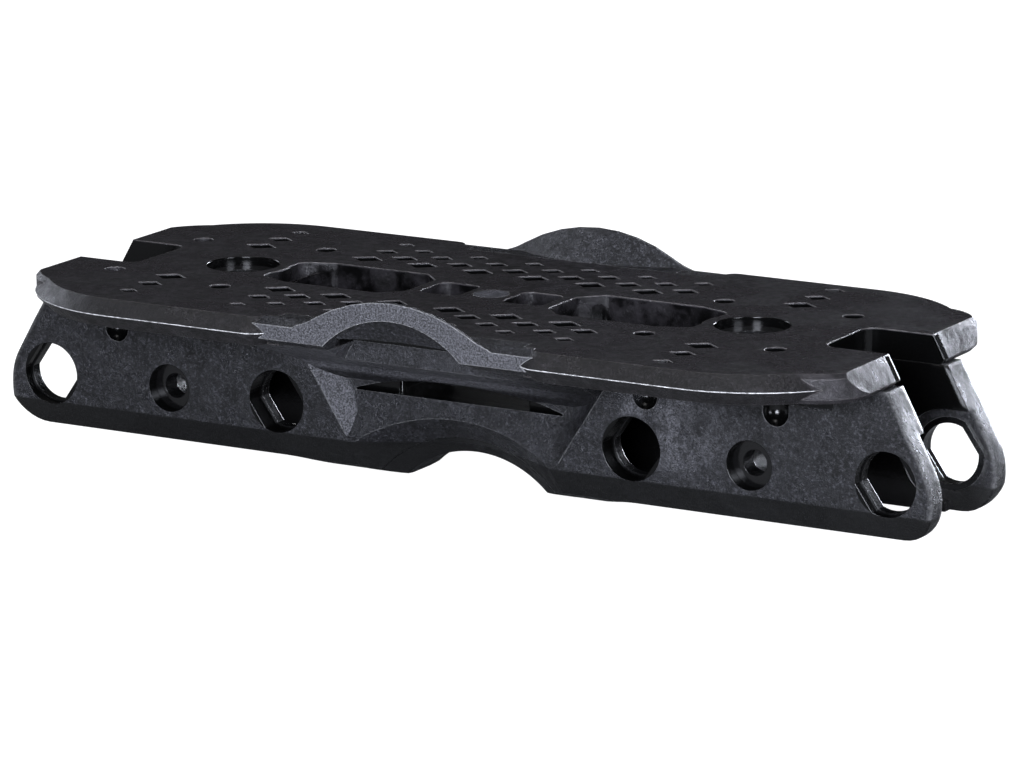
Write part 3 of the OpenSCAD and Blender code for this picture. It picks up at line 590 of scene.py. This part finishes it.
def notch_zone(desk):
    """The walls of the notches that the outer wheels turn in."""
    return desk.all_of(
        desk.below(desk.coordinate("Z"), DECK_TOP - 0.5 * MM, 0.2 * MM),
        desk.below(desk.across(), NOTCH_HALF_W, 1 * MM),
        desk.above(desk.along(), NOTCH_FROM_X, 1 * MM),
    )


def under_deck(desk):
    """Everything just under the deck's top face."""
    return desk.below(desk.coordinate("Z"), DECK_TOP - 0.6 * MM, 0.25 * MM)


def pocket_zone(desk):
    """The walls of the pockets along the middle of the sole plate."""
    return desk.all_of(
        under_deck(desk),
        desk.below(desk.across(), POCKET_HALF_W, 0.2 * MM),
        desk.below(desk.along(), POCKETS_TO_X, 1 * MM),
        desk.patches(POCKET_PATCHES, 0.25, 0.95),
    )


def hole_zone(desk):
    """The walls of the small holes through the sole plate, on both sides of the pockets."""
    across = desk.across()
    return desk.all_of(
        under_deck(desk),
        desk.all_of(desk.above(across, HOLES_FROM_Y, 0.4 * MM), desk.below(across, HOLES_TO_Y, 0.4 * MM)),
        desk.below(desk.along(), HOLES_TO_X, 0.4 * MM),
    )


def band_zone(desk):
    """The smooth band along the bottom of the rails, where shade is painted on."""
    return desk.below(desk.coordinate("Z"), BAND_TOP - 0.4 * MM, 0.8 * MM)


def rail_end_zone(desk):
    """A strip along both slanted ends of the rails, by how far inside the leaning end plane a point lies."""
    x, z = desk.coordinate("X"), desk.coordinate("Z")
    drop = desk.sum("SUBTRACT", DECK_TOP, z)
    masks = []
    for end, way in END_WAY.items():
        reach = desk.sum("MULTIPLY_ADD", drop, math.tan(END_LEAN[end]), END_TOP_L[end])
        inside = desk.sum("SUBTRACT", reach, desk.sum("MULTIPLY", x, way))
        inside = desk.sum("MULTIPLY", inside, math.cos(END_LEAN[end]))
        upright = desk.sum("SUBTRACT", RAIL_HALF_L, desk.sum("MULTIPLY", x, way))
        masks.append(desk.below(desk.sum("MINIMUM", inside, upright), RAIL_END_W, 1.2 * MM))
    return desk.any_of(masks)


# Sizes and colours that a user would change


def tone_setting(name, description, default):
    """A setting for a linear tone between black and white."""
    return FloatProperty(name=name, description=description, default=default, min=0.0, max=1.0)


def share_setting(name, description, default):
    """A setting for a share between none and all."""
    return FloatProperty(
        name=name, description=description, default=default, min=0.0, max=1.0, subtype="FACTOR"
    )


def length_setting(name, description, default):
    """A setting for a length in metres."""
    return FloatProperty(name=name, description=description, default=default, min=0.0, unit="LENGTH")


def strength_setting(name, description, default):
    """A setting for the power or strength of a light."""
    return FloatProperty(name=name, description=description, default=default, min=0.0)


class SkateFrameFinish(bpy.types.PropertyGroup):
    deck_tone: tone_setting("Deck tone", "Linear body tone of the sole plate", 0.0095)
    # The arch tone also sets the painted light on the rails, gussets and fillets
    arch_tone: tone_setting("Arch tone", "Linear tone of pale zones, such as the arches' outer faces", 0.045)
    rail_tone: tone_setting("Rail tone", "Linear body tone of the rails", 0.004)
    speck_tone: tone_setting("Speck tone", "Linear tone of the pale specks in the nylon", 0.11)
    scuff_tone: tone_setting("Scuff tone", "Linear tone of rubbed patches", 0.11)
    # The edge tone stands for wear and for a painted highlight on the edges
    edge_wear_highlight_tone: tone_setting("Edge tone", "Linear tone of worn edges", 0.22)
    # The ridge tone is a painted highlight along the rim's ridge
    ridge_highlight_tone: tone_setting("Ridge tone", "Linear tone of the rim's rubbed ridge", 0.7)
    # The dimming is painted shade on the rim's slanted faces
    rim_shade_share: share_setting("Dimming", "How much darker the rim's slanted faces are", 0.7)
    # The gloss tone is painted shade: the near-black of the polished zones, of the rim's slanted faces and of
    # the grind block
    gloss_shade_tone: tone_setting("Gloss tone", "Linear tone of the polished zones and the grind block", 0.0015)
    coolness: tone_setting("Coolness", "How blue the nylon's grey is", 0.14)
    roughness: share_setting("Roughness", "Roughness of the moulded grain", 0.42)
    sheen_level: share_setting("Specular level", "Specular level of the nylon", 0.28)
    # The shade tone is painted shade on the rails' bottom band and the grind block's groove; the webs and the
    # slot ends take their body tone from it
    shade_tone: tone_setting("Shade tone", "Linear tone of the smooth dark zones", 0.003)
    gloss_roughness: share_setting("Gloss roughness", "Roughness of the polished zones", 0.16)
    soft_edge_radius: length_setting("Soft edge radius", "Radius the light sees on the rails' ends", 2.6 * MM)
    # Share of the paler edge tone, which is wear and painted highlight
    edge_wear_and_highlight: share_setting("Edge wear", "Share of the worn tone on edges", 0.45)
    fillet_run: length_setting("Fillet run", "Length of the fillets beside each scoop", 9 * MM)
    fillet_sink: length_setting("Fillet sink", "How far the fillets sink into the rail", 0.8 * MM)
    slot_open_half_l: length_setting("Open slot", "Half length of the slot's open part", 21 * MM)
    edge_radius: length_setting("Edge radius", "Radius the light sees on moulded edges", 0.55 * MM)
    grain_depth: length_setting("Grain depth", "Depth of the moulded grain", 0.22 * MM)


class SkateFrameStudio(bpy.types.PropertyGroup):
    camera_place: FloatVectorProperty(
        name="Camera place", description="Where the camera stands", default=(0.775664, -1.306655, 0.387799),
        unit="LENGTH", subtype="XYZ",
    )
    camera_turn: FloatVectorProperty(
        name="Camera turn", description="Camera's turn about X, Y and Z", default=CAMERA_TURN,
        subtype="EULER", unit="ROTATION",
    )
    lens: FloatProperty(
        name="Lens", description="Focal length in millimetres on a 36 mm sensor", default=195.978, min=20.0
    )
    floor_size: FloatProperty(
        name="Floor size", description="Width of the pale floor", default=16.0, min=1.0, unit="LENGTH"
    )
    floor_glow: strength_setting("Floor glow", "How far the floor is lit up for the camera", 0.95)
    sky: strength_setting("Room light", "Strength of the even light of the room", 0.03)
    overhead: strength_setting("Overhead light", "Strength of the wide light overhead", 1.1)
    key: strength_setting("Key light", "Power of the soft light on the right side", 18.0)
    back: strength_setting("Back light", "Power of the soft light on the left side", 14.0)
    rear: strength_setting("Rear light", "Power of the soft light at the rear end", 4.0)
    daylight: FloatVectorProperty(
        name="Daylight", description="Colour of the soft lights round the frame", default=(0.85, 0.89, 1.0),
        subtype="COLOR", min=0.0, max=1.0,
    )
    fill: strength_setting("Fill light", "Power of the soft light at the front end", 14.0)


def finish_of(context):
    return context.scene.skate_frame_finish


# Operators: one for each piece or group of like pieces


class SKATEFRAME_OT_sole_plate(bpy.types.Operator):
    """Finish the sole plate: fine-textured deck, polished counterbores, holes, pockets and notches with
    painted shade in them, painted shade on the rim's slanted faces and a painted highlight on its ridge
    """

    bl_idname = "skateframe.sole_plate"
    bl_label = "Sole plate"

    def execute(self, context):
        finish = finish_of(context)
        # Painted shade in the polished zones and on the rim's slanted faces, and a painted highlight on the
        # rim's ridge
        material = nylon(
            "deck_nylon", finish, finish.deck_tone, speck=0.12, grain_h=0.5, scuffs=0.2, warm=0.08,
            polished_and_painted_shade=(bolt_seat_zone, notch_zone, hole_zone, pocket_zone), dimmed_by_painted_shade=(rim_painted_shade_zone,),
            painted_highlight_edges=(ridge_highlight_zone,),
        )
        dress("sole_plate", material)
        return {"FINISHED"}


class SKATEFRAME_OT_side_arches(bpy.types.Operator):
    """Finish the two raised side arches"""

    bl_idname = "skateframe.side_arches"
    bl_label = "Side arches"

    def execute(self, context):
        finish = finish_of(context)
        # The arches' outer edges carry a painted highlight
        material = nylon(
            "arch_nylon", finish, finish.rail_tone * ARCH_SHARE_OF_RAIL, speck=0.5, grain_h=1.0, scuffs=0.3,
            pale_and_painted_light=(arch_face_zone,), painted_highlight_edges=(arch_edge_highlight_zone,),
        )
        for side in SIDES:
            dress(f"{side}_arch", material)
        return {"FINISHED"}


class SKATEFRAME_OT_rails(bpy.types.Operator):
    """Finish the two rails: grainy grey-black nylon with scuffs, polished bores and channels with painted
    shade, painted shade on the bottom band, painted light on the gussets and a painted highlight in front of
    the scoops
    """

    bl_idname = "skateframe.rails"
    bl_label = "Rails"

    def execute(self, context):
        finish = finish_of(context)
        # Painted shade in the bores, channels, slot and bottom band, painted light on the gussets and a
        # painted highlight in front of each scoop
        material = nylon(
            "rail_nylon", finish, finish.rail_tone, speck=0.34, grain_h=0.9, scuffs=0.25,
            polished_and_painted_shade=(axle_zone, cross_bolt_zone, channel_zone, bolt_channel_zone, slot_zone),
            shaded=(band_zone,), pale_and_painted_light=(rail_highlight_zone, gusset_painted_light_zone), soft_edges=(rail_end_zone,),
        )
        for side in SIDES:
            dress(f"{side}_rail", material)
        return {"FINISHED"}


class SKATEFRAME_OT_grind_block(bpy.types.Operator):
    """Finish the grind block between the rails in near-black painted shade"""

    bl_idname = "skateframe.grind_block"
    bl_label = "Grind block"

    def execute(self, context):
        finish = finish_of(context)
        # The block's near-black body and polished zones are painted shade
        material = nylon(
            "block_nylon", finish, finish.gloss_shade_tone, speck=0.02, grain_h=0.5, scuffs=0.05,
            polished_and_painted_shade=(above_band_zone,), shaded=(band_zone,),
        )
        dress("grind_block", material)
        return {"FINISHED"}


class SKATEFRAME_OT_cross_webs(bpy.types.Operator):
    """Finish the two webs between the rails"""

    bl_idname = "skateframe.cross_webs"
    bl_label = "Cross webs"

    def execute(self, context):
        finish = finish_of(context)
        body = finish.shade_tone * WEB_SHARE_OF_SHADE
        material = nylon("web_nylon", finish, body, speck=0.1, grain_h=0.6, scuffs=0.1)
        for end in ENDS:
            dress(f"{end}_web", material)
        return {"FINISHED"}


class SKATEFRAME_OT_axle_rings(bpy.types.Operator):
    """Finish the eight glossy rings deep in the axle holes"""

    bl_idname = "skateframe.axle_rings"
    bl_label = "Axle rings"

    def execute(self, context):
        material = machined("axle_ring_gloss", tone=0.003, roughness=0.2, metallic=0.0, turned_size=0.3 * MM)
        for side in SIDES:
            for name in AXLES:
                dress(f"{side}_{name}_axle_ring", material)
        return {"FINISHED"}


class SKATEFRAME_OT_bolt_sleeves(bpy.types.Operator):
    """Finish the four cross-bolt sleeves"""

    bl_idname = "skateframe.bolt_sleeves"
    bl_label = "Bolt sleeves"

    def execute(self, context):
        material = machined("sleeve_coat", tone=0.003, roughness=0.12, metallic=0.0, turned_size=0.2 * MM)
        for side in SIDES:
            for end in ENDS:
                dress(f"{side}_{end}_sleeve", material)
        return {"FINISHED"}


class SKATEFRAME_OT_bolt_washers(bpy.types.Operator):
    """Finish the two seats under the frame bolts"""

    bl_idname = "skateframe.bolt_washers"
    bl_label = "Bolt washers"

    def execute(self, context):
        material = machined("washer_coat", tone=0.02, roughness=0.3, metallic=0.5, turned_size=0.25 * MM)
        for end in ENDS:
            dress(f"{end}_bolt_washer", material)
        return {"FINISHED"}


class SKATEFRAME_OT_centre_plug(bpy.types.Operator):
    """Finish the disc in the middle of the sole plate"""

    bl_idname = "skateframe.centre_plug"
    bl_label = "Centre plug"

    def execute(self, context):
        finish = finish_of(context)
        body = finish.deck_tone * PLUG_SHARE_OF_DECK
        material = nylon("plug_nylon", finish, body, speck=0.2, grain_h=0.4, scuffs=0.1)
        dress("centre_plug", material)
        return {"FINISHED"}


def grid_faces(rows, columns):
    """Quads of a closed tube of grid rows: row i joins row i + 1, and the last row joins the first."""
    row, column = np.meshgrid(np.arange(rows), np.arange(columns - 1), indexing="ij")
    here = row * columns + column
    there = ((row + 1) % rows) * columns + column
    return np.stack([here, there, there + 1, here + 1], axis=-1).reshape(-1, 4)


def closed_tube(name, rings, inside_out, material):
    """A closed piece with flat end caps. In rings[i, j], i runs round the section and j along the piece."""
    rows, columns = rings.shape[:2]
    first = np.arange(rows) * columns
    faces = grid_faces(rows, columns).tolist() + [first[::-1].tolist(), (first + columns - 1).tolist()]
    if inside_out:
        faces = [face[::-1] for face in faces]
    mesh = bpy.data.meshes.new(name)
    mesh.from_pydata(rings.reshape(-1, 3).tolist(), [], faces)
    mesh.update()
    mesh.materials.append(material)
    piece = bpy.data.objects.new(name, mesh)
    bpy.context.scene.collection.objects.link(piece)
    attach(piece, "root")


def on_all_corners(section_x, section_y, section_z):
    """The same rings in all four quarters of the frame: side, end, rings, and if they come out mirrored."""
    for side, across in SIDE_WAY.items():
        for end, along in END_WAY.items():
            rings = np.stack([along * section_x, across * section_y, section_z], axis=-1)
            yield side, end, rings, across * along < 0


def scoop_floor_y(z):
    """The scoop's floor across the frame: it leans out below the slot and again above it."""
    below = SCOOP_FLOOR_Y + (RAIL_FACE_Y - SCOOP_FLOOR_Y) * (SLOT_LOW - z) / (SLOT_LOW - SCOOP_LOW)
    above = SCOOP_FLOOR_Y + (GUSSET_Y - SCOOP_FLOOR_Y) * (z - SLOT_TOP) / (PLATE_UNDER - SLOT_TOP)
    return np.maximum(SCOOP_FLOOR_Y, np.maximum(below, above))


class SKATEFRAME_OT_scoop_fillets(bpy.types.Operator):
    """Add the hollow fillets that carry each rail's face into its scoop"""

    bl_idname = "skateframe.scoop_fillets"
    bl_label = "Scoop fillets"

    def execute(self, context):
        finish = finish_of(context)
        # Painted light: a paler grey on the fillets' faces that look to the front end and on the gussets
        material = nylon(
            "fillet_nylon", finish, finish.rail_tone, speck=0.3, grain_h=0.9, scuffs=0.2,
            pale_and_painted_light=(fillet_painted_light_zone, gusset_painted_light_zone),
        )
        # The fillets end where the leaning floor comes out to the rail's face
        lean = (PLATE_UNDER - SLOT_TOP) / (GUSSET_Y - SCOOP_FLOOR_Y)
        z_top = SLOT_TOP + lean * (RAIL_FACE_Y - SCOOP_FLOOR_Y)
        z = np.linspace(SCOOP_LOW + FILLET_GAP, z_top - FILLET_GAP, FILLET_ROWS)
        widening = (SCOOP_HALF_TOP - SCOOP_HALF_BOTTOM) / (PLATE_UNDER - SCOOP_LOW)
        edge_x = SCOOP_HALF_BOTTOM + widening * (z - SCOOP_LOW)
        floor_y = scoop_floor_y(z)
        # From the crisp edge the section falls steeply and flattens: the depth grows as 1 - (1 - t) squared
        t = np.linspace(0.0, 1.0, FILLET_STEPS)[:, None]
        # Near the bottom, where the scoop is shallow, the fillet is about a third as long
        grown = FILLET_START + (1.0 - FILLET_START) * (z - SCOOP_LOW) / FILLET_GROWTH
        run = finish.fillet_run * np.clip(grown, 0.0, 1.0)
        front_x = edge_x - run * t
        front_y = RAIL_FACE_Y + (floor_y - RAIL_FACE_Y) * (1 - (1 - t) ** 2)
        # The back of the section runs straight, sunk by the same amount under the scoop's floor
        sink = finish.fillet_sink
        back_x = edge_x - run * t[::-1] + sink * (1 - t[::-1])
        back_y = np.broadcast_to(floor_y - sink, back_x.shape)
        section_x = np.concatenate([front_x, back_x])
        section_y = np.concatenate([front_y, back_y])
        section_z = np.broadcast_to(z, section_x.shape)
        for side, end, rings, mirrored in on_all_corners(section_x, section_y, section_z):
            closed_tube(f"{side}_{end}_scoop_fillet", rings, mirrored, material)
        return {"FINISHED"}


class SKATEFRAME_OT_slot_ends(bpy.types.Operator):
    """Add the blind ends of the lens slot inside the rails' walls, finished in near-black painted shade"""

    bl_idname = "skateframe.slot_ends"
    bl_label = "Slot ends"

    def execute(self, context):
        finish = finish_of(context)
        # Their near-black finish is painted shade
        material = nylon(
            "slot_end_nylon", finish, finish.shade_tone, speck=0.05, grain_h=0.6, scuffs=0.1,
            polished_and_painted_shade=(everywhere,),
        )
        # The slot's top is an arc through both tips and the middle of the slot
        radius = (SLOT_HALF_L**2 + SLOT_H**2) / (2 * SLOT_H)
        x = np.linspace(finish.slot_open_half_l, SLOT_HALF_L - SLOT_END_GAP, SLOT_END_STEPS)
        top = SLOT_TOP - radius + np.sqrt(radius**2 - x**2) + SLOT_END_LAP
        low = np.full_like(x, SLOT_LOW - SLOT_END_LAP)
        near = CHANNEL_HALF_W + SLOT_END_INSET
        far = near + SLOT_END_T
        section_z = np.stack([low, top, top, low])
        section_x = np.broadcast_to(x, section_z.shape)
        section_y = np.broadcast_to(np.array([near, near, far, far])[:, None], section_z.shape)
        for side, end, rings, mirrored in on_all_corners(section_x, section_y, section_z):
            # This section runs the other way round from the fillets' section
            closed_tube(f"{side}_{end}_slot_end", rings, not mirrored, material)
        return {"FINISHED"}


def soft_panel(name, place, target, size, power, colour):
    """A flat soft lamp at place that faces target."""
    data = bpy.data.lights.new(name, "AREA")
    data.shape = "RECTANGLE"
    data.size, data.size_y = size
    data.energy = power
    data.color = colour
    lamp = bpy.data.objects.new(name, data)
    lamp.location = place
    lamp.rotation_euler = (Vector(target) - Vector(place)).to_track_quat("-Z", "Y").to_euler()
    bpy.context.scene.collection.objects.link(lamp)


class SKATEFRAME_OT_studio(bpy.types.Operator):
    """Set up the camera, the pale floor and the soft lights"""

    bl_idname = "skateframe.studio"
    bl_label = "Studio"

    def execute(self, context):
        studio = context.scene.skate_frame_studio
        scene = context.scene
        scene.view_settings.view_transform = "Standard"

        data = bpy.data.cameras.new("photo_camera")
        data.lens = studio.lens
        data.sensor_width = SENSOR_W
        data.clip_start, data.clip_end = CLIP
        camera = bpy.data.objects.new("photo_camera", data)
        camera.location = studio.camera_place
        camera.rotation_euler = Euler(studio.camera_turn, "XYZ")
        scene.collection.objects.link(camera)
        scene.camera = camera

        half = studio.floor_size / 2
        corners = np.array([[-half, -half, 0], [half, -half, 0], [half, half, 0], [-half, half, 0]])
        mesh = bpy.data.meshes.new("studio_floor")
        mesh.from_pydata(corners.tolist(), [], [(0, 1, 2, 3)])
        floor = bpy.data.objects.new("studio_floor", mesh)
        desk = ShaderDesk("floor_paper")
        paper = desk.blend(desk.noise(PAPER_BLOBS, 1), *(grey(value) for value in PAPER_TONES))
        desk.give(desk.shader.inputs["Base Color"], paper)
        desk.shader.inputs["Roughness"].default_value = PAPER_ROUGHNESS
        desk.shader.inputs["Specular IOR Level"].default_value = PAPER_SHEEN
        desk.shader.inputs["Emission Color"].default_value = WHITE
        seen = desk.add("ShaderNodeLightPath").outputs["Is Camera Ray"]
        desk.give(desk.shader.inputs["Emission Strength"], desk.sum("MULTIPLY", seen, studio.floor_glow))
        mesh.materials.append(desk.material)
        scene.collection.objects.link(floor)

        world = bpy.data.worlds.new("studio_room")
        world.use_nodes = True
        background = world.node_tree.nodes["Background"]
        background.inputs["Color"].default_value = WHITE
        background.inputs["Strength"].default_value = studio.sky
        scene.world = world

        sun = bpy.data.lights.new("overhead_soft", "SUN")
        sun.energy = studio.overhead
        sun.angle = SUN_SPREAD
        lamp = bpy.data.objects.new("overhead_soft", sun)
        lamp.rotation_euler = Euler(SUN_TURN, "XYZ")
        scene.collection.objects.link(lamp)
        for setting, name, place, target, size in LAMPS:
            soft_panel(name, place, target, size, getattr(studio, setting), studio.daylight)
        return {"FINISHED"}


PIECE_OPERATORS = (
    SKATEFRAME_OT_sole_plate,
    SKATEFRAME_OT_side_arches,
    SKATEFRAME_OT_rails,
    SKATEFRAME_OT_scoop_fillets,
    SKATEFRAME_OT_slot_ends,
    SKATEFRAME_OT_grind_block,
    SKATEFRAME_OT_cross_webs,
    SKATEFRAME_OT_axle_rings,
    SKATEFRAME_OT_bolt_sleeves,
    SKATEFRAME_OT_bolt_washers,
    SKATEFRAME_OT_centre_plug,
    SKATEFRAME_OT_studio,
)


class SKATEFRAME_PT_looks(bpy.types.Panel):
    """Lists the pieces' finishes and the studio"""

    bl_idname = "SKATEFRAME_PT_looks"
    bl_label = "Skate frame looks"
    bl_space_type = "VIEW_3D"
    bl_region_type = "UI"
    bl_category = "Skate Frame"

    def draw(self, context):
        for group in (context.scene.skate_frame_finish, context.scene.skate_frame_studio):
            box = self.layout.box()
            for key in group.bl_rna.properties.keys():
                if key not in ("rna_type", "name"):
                    box.prop(group, key)
        for operator in PIECE_OPERATORS:
            self.layout.operator(operator.bl_idname)


CLASSES = (SkateFrameFinish, SkateFrameStudio, *PIECE_OPERATORS, SKATEFRAME_PT_looks)


def register():
    for cls in CLASSES:
        bpy.utils.register_class(cls)
    bpy.types.Scene.skate_frame_finish = PointerProperty(type=SkateFrameFinish)
    bpy.types.Scene.skate_frame_studio = PointerProperty(type=SkateFrameStudio)


def unregister():
    del bpy.types.Scene.skate_frame_studio
    del bpy.types.Scene.skate_frame_finish
    for cls in reversed(CLASSES):
        bpy.utils.unregister_class(cls)


def main():
    register()
    for operator in PIECE_OPERATORS:
        group, name = operator.bl_idname.split(".")
        getattr(getattr(bpy.ops, group), name)()


if __name__ == "__main__":
    main()
